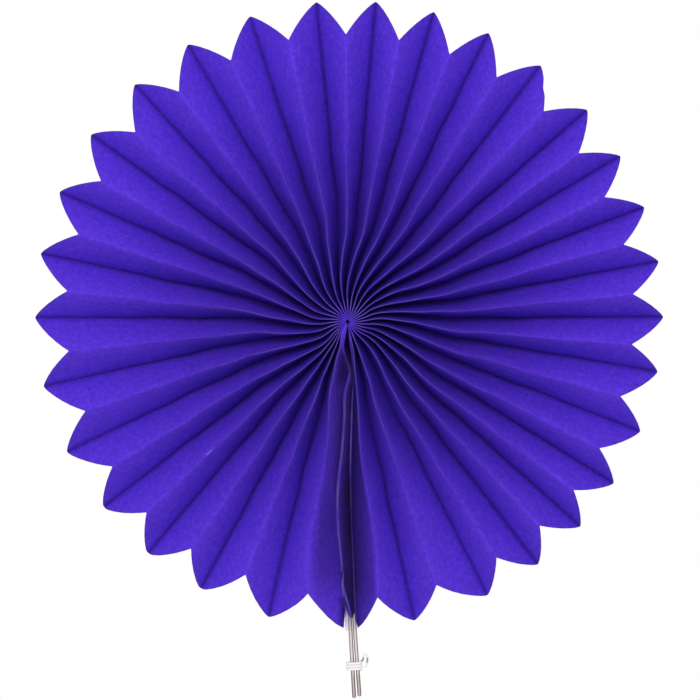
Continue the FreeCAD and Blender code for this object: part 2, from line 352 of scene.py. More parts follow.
@dataclass(frozen=True)
class TissuePaper:
    """Violet tissue paper: beaten fibres, dyed in the pulp and pressed matt on both sides.

    Its fibres lie in faint clouds a few millimetres wide. Its folds are paler from rubbing and carry a
    painted highlight along their edges; painted shade darkens it in its creases.
    """

    name: str = "violet_tissue_paper"
    thin: str = "#5C35D0"
    middle: str = "#4F2CC4"
    dense: str = "#4425B3"
    # paler from rubbing, and a painted highlight where folded and free edges catch the light
    rubbed_and_lit: str = "#66579E"
    shadow: str = "#0B0329"
    scuffed: str = "#7E5DE2"
    cloud_mm: float = 3.0
    cloud_stops: tuple[float, float, float] = (0.27, 0.5, 0.73)
    cloud_detail: float = 4.0
    cloud_roughness: float = 0.7
    fibre_mm: float = 0.9          # real fibres are 0.02 mm thick; drawn coarser so that they show
    fibre_detail: float = 2.0
    fibre_stops: ColourStops = ((0.3, "#D9D9D9"), (0.7, "#FFFFFF"))
    fibre_blend: float = 0.5
    crumple_mm: float = 7.0
    crumple_detail: float = 3.0
    crumple_share: float = 3.0     # how much higher the crumples are than the fibres
    patchy_mm: float = 14.0
    patchy_detail: float = 2.0
    patchy_noise: tuple[float, float] = (0.35, 0.65)   # this stretch of the noise
    patchy_wear_and_highlight: tuple[float, float] = (0.35, 1.3)     # scales the rubbing and painted highlight by these factors
    roughness: float = 0.88
    refraction: float = 1.5
    gloss: float = 0.1
    relief: float = 0.35
    relief_mm: float = 0.22
    scuff_place: tuple[float, float] = (-87.2, -82.6)   # one short scuff, left of the seam
    scuff_size: tuple[float, float] = (8.0, 1.5)
    scuff_slope: float = 44.0
    scuff_core: float = 0.3        # how far from its middle it is at its strongest, as a share
    scuff_most: float = 0.75

    def scuff_mask(self, tree: bpy.types.NodeTree, place: bpy.types.Node) -> bpy.types.Node:
        """Adds a mask for the scuff.

        Args:
            tree: The material's node tree.
            place: Its texture coordinates.

        Returns:
            A node whose first output is scuff_most on the scuff and 0 away from it.
        """
        x, z = self.scuff_place
        length, width = self.scuff_size
        centre = (x * METRES_PER_MM, 0.0, z * METRES_PER_MM)
        half = (length * METRES_PER_MM / 2, 1.0, width * METRES_PER_MM / 2)
        turn = (0.0, -math.radians(self.scuff_slope), 0.0)
        along = add_node(tree, "ShaderNodeMapping", {"vector_type": "TEXTURE"},
                         {"Location": centre, "Rotation": turn, "Scale": half},
                         {"Vector": (place, "Object")})
        reach = add_node(tree, "ShaderNodeVectorMath", {"operation": "LENGTH"}, links={0: (along, 0)})
        return add_node(tree, "ShaderNodeMapRange", links={"Value": (reach, "Value")},
                        values={"From Min": 1.0, "From Max": self.scuff_core, "To Max": self.scuff_most})

    def material(self) -> bpy.types.Material:
        """Builds the finish.

        Returns:
            The material, which reads the attributes fold_wear_and_highlight and crease_shade.
        """
        material, tree, output = new_material(self.name)
        place = add_node(tree, "ShaderNodeTexCoord")
        cloud = noise(tree, self.cloud_mm, self.cloud_detail, place, self.cloud_roughness)
        fibre = noise(tree, self.fibre_mm, self.fibre_detail, place)
        crumple = noise(tree, self.crumple_mm, self.crumple_detail, place)
        patchy = noise(tree, self.patchy_mm, self.patchy_detail, place)
        clouds = ramp(tree, tuple(zip(self.cloud_stops, (self.dense, self.middle, self.thin))), cloud)
        fibres = ramp(tree, self.fibre_stops, fibre)
        dyed = add_node(tree, "ShaderNodeMix", {"data_type": "RGBA", "blend_type": "MULTIPLY"},
                        {0: self.fibre_blend}, {6: (clouds, "Color"), 7: (fibres, "Color")})
        noise_low, noise_high = self.patchy_noise
        wear_low, wear_high = self.patchy_wear_and_highlight
        uneven = add_node(tree, "ShaderNodeMapRange", links={"Value": (patchy, "Fac")}, values={
            "From Min": noise_low, "From Max": noise_high, "To Min": wear_low, "To Max": wear_high})
        amount = add_node(tree, "ShaderNodeMath", {"operation": "MULTIPLY"},
                          links={0: stored(tree, "fold_wear_and_highlight"), 1: (uneven, "Result")})
        # rubbing and painted highlight on the edges, then painted shade in the folds
        worn_and_lit = tint(tree, self.rubbed_and_lit, (amount, 0), (dyed, 2))
        shaded = tint(tree, self.shadow, stored(tree, "crease_shade"), (worn_and_lit, 2))
        marked = tint(tree, self.scuffed, (self.scuff_mask(tree, place), 0), (shaded, 2))
        height = add_node(tree, "ShaderNodeMath", {"operation": "MULTIPLY_ADD"}, {1: self.crumple_share},
                          {0: (crumple, "Fac"), 2: (fibre, "Fac")})
        bump = bumps(tree, self.relief, self.relief_mm, (height, 0))
        paper = add_node(tree, "ShaderNodeBsdfPrincipled", values={
            "Roughness": self.roughness, "IOR": self.refraction, "Specular IOR Level": self.gloss
        }, links={"Base Color": (marked, 2), "Normal": (bump, 0)})
        tree.links.new(paper.outputs[0], output.inputs["Surface"])
        return material


@dataclass(frozen=True)
class WrappedStay:
    """Thin stay wrapped in cream kraft tape: the wrap's edge winds round it in a faint spiral."""

    name: str = "cream_wrapped_stay"
    light: str = "#D2C6C4"
    dark: str = "#BDB0AE"
    # painted shade on the stay's left and right sides, where a round stay turns from the light
    flank_shade: str = "#5C5250"
    stops: tuple[float, float] = (0.3, 0.55)
    grain_mm: float = 0.8
    grain_detail: float = 4.0
    grain_roughness: float = 0.6
    roughness: float = 0.6
    relief: float = 0.15
    relief_mm: float = 0.1

    def material(self) -> bpy.types.Material:
        """Builds the finish.

        Returns:
            The material, which reads the attribute flank.
        """
        material, tree, output = new_material(self.name)
        place = add_node(tree, "ShaderNodeTexCoord")
        grain = noise(tree, self.grain_mm, self.grain_detail, place, self.grain_roughness)
        colour = ramp(tree, tuple(zip(self.stops, (self.dark, self.light))), grain)
        # painted shade on the sides
        shaded_sides = tint(tree, self.flank_shade, stored(tree, "flank_shade"), (colour, "Color"))
        bump = bumps(tree, self.relief, self.relief_mm, (grain, "Fac"))
        wrap = add_node(tree, "ShaderNodeBsdfPrincipled", values={"Roughness": self.roughness},
                        links={"Base Color": (shaded_sides, 2), "Normal": (bump, 0)})
        tree.links.new(wrap.outputs[0], output.inputs["Surface"])
        return material


@dataclass(frozen=True)
class SoftCord:
    """Soft cotton cord, bleached or dyed: three loose plies with a fine fuzz."""

    name: str
    light: str
    dark: str
    # painted shade on the legs of the loop
    shadow_grey: str = "#8C8888"
    stops: tuple[float, float] = (0.3, 0.6)
    fibre_mm: float = 0.35
    fibre_detail: float = 3.0
    roughness: float = 0.9
    sheen: float = 0.3
    gloss: float = 0.2
    relief: float = 0.4
    relief_mm: float = 0.1

    def material(self) -> bpy.types.Material:
        """Builds the finish.

        Returns:
            The material, which reads the attribute soiling.
        """
        material, tree, output = new_material(self.name)
        place = add_node(tree, "ShaderNodeTexCoord")
        fibre = noise(tree, self.fibre_mm, self.fibre_detail, place)
        colour = ramp(tree, tuple(zip(self.stops, (self.dark, self.light))), fibre)
        bump = bumps(tree, self.relief, self.relief_mm, (fibre, "Fac"))
        darkened = tint(tree, self.shadow_grey, stored(tree, "cord_shade"), (colour, "Color"))
        cotton = add_node(tree, "ShaderNodeBsdfPrincipled", values={
            "Roughness": self.roughness, "Sheen Weight": self.sheen, "Specular IOR Level": self.gloss
        }, links={"Base Color": (darkened, 2), "Normal": (bump, 0)})
        tree.links.new(cotton.outputs[0], output.inputs["Surface"])
        return material


@dataclass(frozen=True)
class TapeFilm:
    """Double-sided tape: a pale polypropylene film, satin, with the violet showing through it."""

    name: str = "pale_tape_film"
    clear: str = "#D2C9DE"
    tinted: str = "#B8ACD0"
    shadowed: str = "#5A489C"        # painted shade near the strip, where the film lies on the violet paper
    stops: tuple[float, float] = (0.35, 0.6)
    patch_mm: float = 6.0
    patch_detail: float = 2.0
    roughness: float = 0.45

    def material(self) -> bpy.types.Material:
        """Builds the finish.

        Returns:
            The material, which reads the attribute stuck.
        """
        material, tree, output = new_material(self.name)
        place = add_node(tree, "ShaderNodeTexCoord")
        patch = noise(tree, self.patch_mm, self.patch_detail, place)
        colour = ramp(tree, tuple(zip(self.stops, (self.tinted, self.clear))), patch)
        shadowed = tint(tree, self.shadowed, stored(tree, "tape_shade"), (colour, "Color"))
        film = add_node(tree, "ShaderNodeBsdfPrincipled", values={"Roughness": self.roughness},
                        links={"Base Color": (shadowed, 2)})
        tree.links.new(film.outputs[0], output.inputs["Surface"])
        return material


@dataclass
class FoldPlan:
    """Where every fold of the sheet runs, from the eye in the hub to the rim."""

    tip_radius: float
    panel_width: float
    notch_radius: float = 176.7
    eye_radius: float = 0.65
    wall: float = 0.5
    swirl: float = 13.0            # degrees that the folds swirl round the hub
    swirl_start: float = 16.0
    swirl_end: float = 70.0
    calm_left: int = 5             # folds beside the seam over which the swirl grows
    calm_right: int = 4
    calm_least: float = 0.25
    gather_end: float = 26.0
    hub_first: float = 198.0       # bearings of the first and the last fold but one at the hub
    hub_last: float = 531.0
    bow: float = 5.0
    bowed_folds: int = 4           # folds left of the seam that follow the bow
    crowded_folds: int = 9         # folds left of the seam that share what room it leaves near the hub
    crowded: Fade = (1.0, 85.0, 30.0)
    bearings: dict[int, float] = field(default_factory=lambda: {
        0: 181.3, 4: 208.6, 9: 238.3, 14: 270.3, 19: 299.7, 24: 329.8, 28: 354.3, 31: 370.3, 35: 391.3,
        38: 408.7, 43: 434.3, 48: 459.6, 51: 476.7, 55: 496.8, 58: 513.3, 59: 521.4, 61: 533.8, 62: 538.8})
    left_edge: Stops = (
        (1.2, 186.0), (8.0, 189.0), (16.0, 189.0), (24.0, 182.0), (31.0, 177.2), (36.0, 177.3),
        (42.0, 180.2), (63.0, 181.6), (86.0, 182.3), (98.0, 182.9), (111.0, 183.1), (134.0, 182.5),
        (153.0, 181.5), (166.0, 181.0), (174.0, 180.88), (178.0, 180.68), (182.0, 180.38),
        (186.0, 180.34), (192.0, 180.4), (200.0, 180.3))
    first_ridge: Stops = (
        (1.2, 205.0), (6.0, 210.0), (12.4, 200.0), (16.8, 197.6), (22.0, 197.2), (36.0, 195.0),
        (48.5, 193.2), (57.0, 192.0), (70.0, 190.4), (83.0, 189.3), (94.0, 188.8), (113.0, 189.5),
        (134.0, 190.0), (160.0, 189.0), (183.0, 187.9))
    right_edge: Stops = (
        (1.2, 178.0), (8.0, 176.0), (16.0, 174.4), (32.0, 174.8), (50.0, 177.3), (83.0, 179.2),
        (114.0, 179.45), (135.0, 179.25), (160.0, 178.95), (184.0, 178.8), (192.0, 178.65), (200.0, 178.6))
    last_ridge: Stops = (
        (1.2, 171.0), (8.0, 169.0), (15.6, 168.5), (25.0, 170.7), (31.5, 171.7), (38.0, 172.3),
        (47.5, 172.7), (57.0, 173.3), (70.0, 174.0), (82.5, 174.3), (98.0, 173.9), (114.0, 173.3),
        (133.0, 172.9), (152.0, 173.0), (166.0, 173.5), (178.0, 173.9))
    waver_mm: float = 0.16         # how far a fold strays from its smooth line
    waver_lengths: tuple[float, ...] = (57.0, 34.0, 21.0)
    waver_middle: float = 30.0     # the length whose stray is waver_mm
    waver_start: Fade = (1.0, 8.0, 25.0)
    waver_end: Fade = (1.0, 165.0, 120.0)
    waver_seed: int = 11
    # how the cut wanders: the middle and half width of each stretch in degrees, and its size in mm
    sways: tuple[tuple[float, float, float], ...] = (
        (200.0, 16.0, -2.9), (245.0, 14.0, -2.3), (352.0, 12.0, 1.1), (43.0, 9.0, 1.1), (85.0, 18.0, 1.9),
        (127.0, 10.0, 1.1))
    most_lean: float = 0.97

    @property
    def last(self) -> int:
        """Finds the number of the last fold, the free edge right of the seam."""
        return max(self.bearings)

    def rim_bearings(self) -> np.ndarray:
        """Works out the bearing of every fold at the rim."""
        stated = sorted(self.bearings)
        return np.interp(np.arange(self.last + 1), stated, [self.bearings[fold] for fold in stated])

    def notch_radii(self) -> np.ndarray:
        """Works out the notches, whose line wanders a little round the rim.

        Returns:
            The radius of the notch at every fold.
        """
        bearings = self.rim_bearings() % 360
        sway = sum(size * np.exp(-((bearings - middle) / width) ** 2) for middle, width, size in self.sways)
        return self.notch_radius + sway

    def fold_bearings(self, radii: np.ndarray) -> np.ndarray:
        """Works out the bearings of all folds.

        Args:
            radii: Distances from the hub's centre.

        Returns:
            One row per fold and one column per radius.
        """
        folds = np.arange(self.last + 1)[:, None]
        from_left = np.clip((folds - 1) / self.calm_left, 0, 1)
        from_right = np.clip((self.last - folds - 2) / self.calm_right, self.calm_least, 1)
        inside = np.clip((self.swirl_end - radii) / (self.swirl_end - self.swirl_start), 0, 1)
        swirl = self.swirl * inside ** 2 * np.minimum(from_left, from_right)
        bowed = np.clip(1 - folds / self.bowed_folds, 0, 1)
        outwards = np.clip((radii - self.eye_radius) / (self.tip_radius - self.eye_radius), 0, 1)
        bow = np.degrees(self.bow * bowed * np.sin(np.pi * outwards) / radii)
        spread = self.rim_bearings()[:, None] - swirl + bow
        hub = self.hub_first + (folds - 1) * (self.hub_last - self.hub_first) / (self.last - 2)
        gathered = np.clip((self.gather_end - radii) / (self.gather_end - self.eye_radius), 0, 1) ** 2
        placed = gathered * hub + (1 - gathered) * spread
        placed[1] = curve_through(self.first_ridge, radii)
        crowd = self.crowded_folds
        near = faded(radii, self.crowded)
        for fold in range(2, crowd):
            evenly = placed[1] + (placed[crowd] - placed[1]) * (fold - 1) / (crowd - 1)
            placed[fold] = near * evenly + (1 - near) * placed[fold]
        placed += self.waver(radii)
        placed[0] = curve_through(self.left_edge, radii)
        placed[self.last - 1] = curve_through(self.last_ridge, radii) + 360
        placed[self.last] = curve_through(self.right_edge, radii) + 360
        return placed

    def waver(self, radii: np.ndarray) -> np.ndarray:
        """Works out small uneven strays of the folds: none at the hub and at the rim.

        Args:
            radii: Distances from the hub's centre.

        Returns:
            Degrees, with one row per fold and one column per radius.
        """
        random = np.random.default_rng(self.waver_seed)
        total = np.zeros((self.last + 1, len(radii)))
        for length in self.waver_lengths:
            start = random.uniform(0, 2 * math.pi, self.last + 1)[:, None]
            total += np.sin(2 * math.pi * radii / length + start) * length / self.waver_middle
        reach = faded(radii, self.waver_start) * faded(radii, self.waver_end)
        return np.degrees(self.waver_mm * total * reach / radii)

    def half_depth(self, radii: np.ndarray) -> np.ndarray:
        """Works out the rosette's depth: a panel of one width leans back as its folds part.

        Args:
            radii: Distances from the hub's centre.

        Returns:
            Half the depth at each of them.
        """
        pitch = 2 * math.pi * radii / self.last
        lean = np.clip((pitch - self.wall) / self.panel_width, 0, self.most_lean)
        return (self.panel_width * np.sqrt(1 - lean ** 2) + self.wall) / 2


@dataclass(frozen=True)
class SheetGrid:
    """The sheet's columns, from its left free edge to its right one, and the rows out along each."""

    ridges: np.ndarray             # number of each column's front fold
    valleys: np.ndarray            # and of its back fold
    steps: np.ndarray              # and its step from ridge to valley
    squashed: np.ndarray           # and how squashed its folds are at the hub, 0 to 1
    radii: np.ndarray              # distance of each point from the hub's centre
    ridge_at: np.ndarray           # bearing of its ridge there
    pitch: np.ndarray              # and the width from ridge to valley
    last_fold: int

    @property
    def at_left(self) -> np.ndarray:
        """Finds the columns of the end panel left of the seam."""
        return (self.valleys == 0)[:, None]

    @property
    def at_end(self) -> np.ndarray:
        """Finds the columns of both end panels."""
        return self.at_left | (self.valleys == self.last_fold)[:, None]


@dataclass(frozen=True)
class WearAndHighlight:
    """How much the paper is paler from rubbing and from a painted highlight: along its folded edges and on
    its two free edges.
    """

    # along the folded edges: paler from rubbing, and a painted highlight
    ridge: float = 0.04
    ridge_inner: Fade = (0.5, 105.0, 40.0)
    ridge_eye: Fade = (0.6, 8.0, 3.0)
    # on the two free edges: a painted highlight where their lips catch the light, and rubbing
    left_hem: Fade = (1.0, 186.0, 178.0)
    right_hem: float = 0.75
    right_hem_outer: Fade = (0.25, 90.0, 120.0)
    hem: float = 0.7
    hem_outer: Fade = (0.3, 30.0, 60.0)

    def amounts(self, grid: SheetGrid, on_crest: np.ndarray, on_hem: np.ndarray) -> np.ndarray:
        """Works out how much rubbing and painted highlight each point has.

        Args:
            grid: The sheet's columns and rows.
            on_crest: Which columns lie on a folded edge.
            on_hem: Which columns lie on a free edge.

        Returns:
            Shares of the colour for rubbing and painted highlight, 0 to 1.
        """
        radii = grid.radii
        rubbed_and_lit = (self.ridge + faded(radii, self.ridge_inner)) * (1 - faded(radii, self.ridge_eye))
        right = self.right_hem + faded(radii, self.right_hem_outer)
        hem = np.where(grid.at_left, faded(radii, self.left_hem), right)
        hem = hem * (self.hem + faded(radii, self.hem_outer))
        return np.where(on_hem, hem, np.where(on_crest, rubbed_and_lit, 0.0))


@dataclass(frozen=True)
class FoldShade:
    """How much darker the dye looks where little light reaches it, as shares of the shadow colour."""

    close: Fade = (0.12, 178.0, 60.0)              # everywhere, as the folds close up
    close_hub: Fade = (0.5, 14.0, 6.0)             # by how much more in the hub
    close_squashed: Fade = (1.0, 22.0, 12.0)       # by how much less where the folds are squashed
    ridge_outer: Fade = (0.13, 178.0, 125.0)       # along the folded edges
    ridge_inner: Fade = (0.25, 125.0, 60.0)
    ridge_start: Fade = (1.0, 8.0, 16.0)
    crease: Fade = (0.38, 50.0, 95.0)              # down in the valleys
    crease_width: float = 1.1
    lee: Fade = (0.2, 140.0, 55.0)                 # on the panels that face away from the light
    lee_start: Fade = (1.0, 10.0, 20.0)
    off_ridge: Fade = (1.0, 0.0, 0.3)              # shares of a panel's width over which a shade grows
    left_hub: Fade = (0.6, 13.0, 20.0)             # on the end panel left of the seam
    left_hub_end: Fade = (1.0, 50.0, 32.0)
    left_narrow: Fade = (0.85, 132.0, 100.0)
    left_narrow_start: Fade = (1.0, 30.0, 60.0)
    left_narrow_width: float = 7.0
    left_narrow_power: float = 1.2
    left_broad: Fade = (0.42, 90.0, 130.0)
    left_broad_end: Fade = (1.0, 190.0, 156.0)
    left_edge: float = 0.1
    left_edge_inner: Fade = (0.2, 140.0, 110.0)
    left_foot: Fade = (0.72, 177.0, 182.0)
    left_foot_width: float = 3.3
    right: float = 0.88                            # on the end panel right of it
    right_width: float = 21.0
    right_power: float = 0.85
    right_least: float = 0.3
    right_lighter: Fade = (0.35, 165.0, 190.0)
    right_off_ridge: Fade = (1.0, 0.0, 0.12)
    right_start: Fade = (1.0, 4.0, 14.0)
    right_edge: float = 0.15
    edge_width: float = 1.0
    cut: float = 0.42                              # on the cut edges
    eye: Fade = (0.97, 1.7, 0.9)

    def close_amounts(self, grid: SheetGrid) -> np.ndarray:
        """Works out the shade that both faces have, as the folds close up toward the hub.

        Args:
            grid: The sheet's columns and rows.

        Returns:
            Shares of the shadow colour, 0 to 1.
        """
        squashed = grid.squashed[:, None] * faded(grid.radii, self.close_squashed)
        more = 1 + faded(grid.radii, self.close_hub)
        return faded(grid.radii, self.close) * more * (1 - squashed)

    def left_amounts(self, grid: SheetGrid, share: np.ndarray, from_crease: np.ndarray) -> np.ndarray:
        """Works out the shade of the end panel left of the seam.

        Args:
            grid: The sheet's columns and rows.
            share: Place of each point between its ridge and its valley.
            from_crease: Its distance from the valley.

        Returns:
            Shares of the shadow colour, 0 to 1.
        """
        radii = grid.radii
        hub = faded(radii, self.left_hub) * faded(radii, self.left_hub_end)
        beside = np.clip(1 - from_crease / self.left_narrow_width, 0, 1) ** self.left_narrow_power
        narrow = beside * faded(radii, self.left_narrow) * faded(radii, self.left_narrow_start)
        broad = faded(radii, self.left_broad) * faded(radii, self.left_broad_end)
        shade = np.maximum(np.maximum(hub, narrow), broad) * faded(share, self.off_ridge)
        edge = self.left_edge + faded(radii, self.left_edge_inner)
        shade = np.where(from_crease < self.edge_width, edge, shade)
        foot = np.maximum(shade, faded(radii, self.left_foot))
        return np.where(from_crease < self.left_foot_width, foot, shade)

    def right_amounts(self, grid: SheetGrid, share: np.ndarray, from_crease: np.ndarray) -> np.ndarray:
        """Works out the shade of the end panel right of the seam.

        Args:
            grid: The sheet's columns and rows.
            share: Place of each point between its ridge and its valley.
            from_crease: Its distance from the valley.

        Returns:
            Shares of the shadow colour, 0 to 1.
        """
        beside = np.clip(1 - from_crease / self.right_width, 0, 1) ** self.right_power
        shade = self.right * beside * (1 - faded(grid.radii, self.right_lighter))
        shade = np.maximum(shade, self.right_least)
        shade = shade * faded(share, self.right_off_ridge) * faded(grid.radii, self.right_start)
        return np.where(from_crease < self.edge_width, self.right_edge, shade)

    def front_amounts(self, grid: SheetGrid, share: np.ndarray, on_crest: np.ndarray) -> np.ndarray:
        """Works out the shade of the front face.

        Args:
            grid: The sheet's columns and rows.
            share: Place of each point between its ridge and its valley.
            on_crest: Which columns lie on a folded edge.

        Returns:
            Shares of the shadow colour, 0 to 1.
        """
        radii = grid.radii
        from_crease = (1 - share) * grid.pitch
        crease = np.exp(-(from_crease / self.crease_width) ** 2) * faded(radii, self.crease)
        leeward = (grid.ridges > grid.valleys)[:, None] * faded(share, self.off_ridge)
        lee = faded(radii, self.lee) * faded(radii, self.lee_start) * leeward
        left = self.left_amounts(grid, share, from_crease)
        right = self.right_amounts(grid, share, from_crease)
        seam = np.where(grid.at_left, left, right)
        shade = np.where(grid.at_end, seam, 1 - (1 - crease) * (1 - lee))
        ridge = faded(radii, self.ridge_outer) + faded(radii, self.ridge_inner)
        shade = np.maximum(shade, ridge * faded(radii, self.ridge_start) * on_crest)
        shade[:, -1] = np.maximum(shade[:, -1], self.cut)
        return 1 - (1 - shade) * (1 - self.close_amounts(grid)) * (1 - faded(radii, self.eye))


@dataclass
class PleatedSheet:
    """The folded sheet: one strip of tissue paper, opened to a ring and cut to petals."""

    plan: FoldPlan
    finish: bpy.types.Material
    shade: FoldShade = FoldShade()
    wear_and_highlight: WearAndHighlight = WearAndHighlight()
    wall: float = 0.32             # thickness drawn away from the hub
    crest: float = 0.26            # half width of a folded edge
    crest_most: float = 0.3        # and how much of a panel's width it takes at most
    across: int = 9                # stretches between two folds
    front_steps: tuple[float, ...] = (0.0, 0.0, 0.03, 0.13, 0.3, 0.5, 0.7, 0.86, 0.95, 1.0)
    common_end: float = 166.0      # radius out to which all columns have the same rows
    inner_rows: int = 46
    row_power: float = 1.7         # how much closer together they are near the hub
    rim_rows: int = 8
    cut_edge: float = 0.8          # how far in from the cut the layers' edges look darker
    dish: float = 1.6              # how far the hub's middle lies behind the folds round it
    dish_radius: float = 9.0
    groove_least: float = 0.12
    groove_hub: float = 0.5
    groove_full: float = 13.0      # radius at which the grooves reach their full depth
    squashed_folds: int = 8        # folds left of the seam that are squashed flat at the hub
    squashed_full: float = 21.0
    unevenness: float = 0.05       # how much shallower a fold is than the deepest, at most
    uneven_start: Fade = (1.0, 20.0, 90.0)
    lifted: Fade = (1.0, 36.0, 15.0)
    left_lift: float = 2.2         # how far behind its ridge each free edge lies where it is lifted
    right_lift: float = 1.6
    bulge: Fade = (0.3, 30.0, 190.0)               # how much rounder a panel's section is at the rim
    bulge_spread: tuple[float, float] = (0.6, 1.4)
    pinch: Fade = (0.7, 40.0, 120.0)               # how much deeper a valley's crease lies
    pinch_width: float = 0.9
    # height, wavelength, number of waves and seed of each set of soft ripples
    ripples: tuple[tuple[float, float, int, int], ...] = ((0.35, 42.0, 14, 3), (0.12, 13.0, 20, 4))
    ripple_spread: tuple[float, float] = (0.6, 1.6)
    ripple_start: Fade = (1.0, 25.0, 90.0)
    petal_power: float = 1.17      # shape of the petals' cut
    blunt_folds: tuple[int, ...] = (4, 6, 8)
    bluntness: float = 0.07
    nick_fold: int = 36            # the petal with a bite in its right edge
    nick_share: float = 0.45
    nick_width: float = 0.08
    nick_depth: float = 1.9
    left_lip_width: float = 1.9    # each free edge turns up towards the viewer
    right_lip_width: float = 1.3
    lip_most: float = 0.25         # how much of its panel's width a lip takes at most
    lip_rise: Fade = (6.0, 20.0, 45.0)
    left_lip_cut: float = 20.0     # how much shorter each lip is than its petal
    right_lip_cut: float = 7.0
    sharp_deg: float = 32.0
    seed: int = 7

    def rows(self) -> np.ndarray:
        """Places the rows inside the petals, closer together near the hub."""
        share = np.linspace(0, 1, self.inner_rows)
        return self.plan.eye_radius + (self.common_end - self.plan.eye_radius) * share ** self.row_power

    def petal_end(self, toward_ridge: np.ndarray, valleys: np.ndarray, ridges: np.ndarray) -> np.ndarray:
        """Works out where the paper is cut, from a valley's tip to a ridge's notch.

        Args:
            toward_ridge: Place of each column between its valley and its ridge.
            valleys: Number of its back fold.
            ridges: Number of its front fold.

        Returns:
            The radius of the cut in each column.
        """
        blunt = np.isin(valleys, self.blunt_folds) * self.bluntness
        share = np.minimum(np.sqrt(toward_ridge ** 2 + blunt ** 2), 1.0)
        drop = self.plan.tip_radius - self.plan.notch_radii()[ridges]
        return self.plan.tip_radius - drop * share ** self.petal_power

    def end_petal(self, steps: np.ndarray, at_left: np.ndarray, ridges: np.ndarray) -> np.ndarray:
        """Works out where an end panel is cut: its tip is at the foot of its turned-up lip.

        Args:
            steps: Each column's step from the ridge.
            at_left: Whether it lies left of the seam.
            ridges: Number of its front fold.

        Returns:
            The radius of the cut in each column.
        """
        fold = self.across - 2
        share = 1 - np.array(self.front_steps)[np.minimum(steps, fold)] / self.front_steps[fold]
        on_lip = np.maximum(steps - fold, 0) / 2
        cut = self.petal_end(share, np.full(len(steps), -1), ridges)
        return cut - np.where(at_left, self.left_lip_cut, self.right_lip_cut) * on_lip

    def columns(self) -> tuple[np.ndarray, np.ndarray, np.ndarray]:
        """Works out what lies where across the sheet.

        Returns:
            For each column: the panel's ridge fold, its valley fold, and the step from ridge to valley.
        """
        ridges, valleys, steps = [], [], []
        for column in range(self.plan.last * self.across + 1):
            panel = min(column // self.across, self.plan.last - 1)
            step = column - panel * self.across
            first_is_ridge = panel % 2 == 1
            ridges.append(panel if first_is_ridge else panel + 1)
            valleys.append(panel + 1 if first_is_ridge else panel)
            steps.append(step if first_is_ridge else self.across - step)
        return np.array(ridges), np.array(valleys), np.array(steps)

    def radii(self, ridges: np.ndarray, valleys: np.ndarray, steps: np.ndarray) -> np.ndarray:
        """Places the rows: common ones first, then rows that stretch to the cut edge.

        Args:
            ridges: Number of each column's front fold.
            valleys: Number of its back fold.
            steps: Its step from ridge to valley.

        Returns:
            The radius of every point.
        """
        toward_ridge = 1 - np.array(self.front_steps)[steps]
        inner = np.tile(self.rows(), (len(ridges), 1))
        end = self.petal_end(toward_ridge, valleys, ridges)
        at_end = (valleys == 0) | (valleys == self.plan.last)
        end = np.where(at_end, self.end_petal(steps, valleys == 0, ridges), end)
        nicked = (valleys == self.nick_fold) & (ridges == self.nick_fold + 1)
        bite = np.exp(-((toward_ridge - self.nick_share) / self.nick_width) ** 2)
        end = end - self.nick_depth * bite * nicked
        share = np.linspace(0, 1, self.rim_rows + 1)[1:]
        outer = self.common_end + (end[:, None] - self.cut_edge - self.common_end) * share
        return np.concatenate([inner, outer, end[:, None]], axis=1)

    def grid(self) -> SheetGrid:
        """Works out the sheet's columns and rows, seen from the front.

        Returns:
            The grid that both faces are laid out on.
        """
        ridges, valleys, steps = self.columns()
        radii = self.radii(ridges, valleys, steps)
        bearings = np.stack([self.plan.fold_bearings(row) for row in radii.T], axis=2)
        columns = np.arange(len(steps))
        ridge_at = bearings[ridges, columns]
        pitch = np.radians(np.abs(bearings[valleys, columns] - ridge_at)) * radii
        squashed = np.clip(1 - valleys / self.squashed_folds, 0, 1)
        return SheetGrid(ridges, valleys, steps, squashed, radii, ridge_at, pitch, self.plan.last)

    def lip_widths(self, grid: SheetGrid) -> np.ndarray:
        """Works out how wide a turned-up lip is, or would be, at each point."""
        widths = np.where(grid.at_left, self.left_lip_width, self.right_lip_width)
        return np.minimum(widths, self.lip_most * grid.pitch)

    def end_shares(self, grid: SheetGrid) -> np.ndarray:
        """Places the columns across an end panel: the last three lie on its turned-up lip.

        Args:
            grid: The sheet's columns and rows.

        Returns:
            The share of the way from the ridge to the free edge at each point.
        """
        fold = self.across - 2
        lip_share = self.lip_widths(grid) / grid.pitch
        before = np.array(self.front_steps)[np.minimum(grid.steps, fold)][:, None] / self.front_steps[fold]
        after = (np.maximum(grid.steps - fold, 0) / 2)[:, None]
        return before * (1 - lip_share) + after * lip_share

    def panel_depths(self, grid: SheetGrid) -> tuple[np.ndarray, np.ndarray]:
        """Works out how deep the folds lie, with both free edges lifted towards the viewer at the hub.

        Args:
            grid: The sheet's columns and rows.

        Returns:
            The depth of each column's ridge and of its valley.
        """
        radii = grid.radii
        random = np.random.default_rng(self.seed)
        uneven = random.uniform(-self.unevenness, 0.0, self.plan.last + 1)
        half = self.plan.half_depth(radii)
        spread = faded(radii, self.uneven_start)
        dished = self.dish * np.clip(1 - radii / self.dish_radius, 0, 1) ** 2
        near = -half * (1 + uneven[grid.ridges][:, None] * spread) + dished
        far = half * (1 + uneven[grid.valleys][:, None] * spread)
        lifted = faded(radii, self.lifted)
        lift = np.where(grid.at_left, self.left_lift, self.right_lift)
        return near, np.where(grid.at_end, far * (1 - lifted) + (near + lift) * lifted, far)

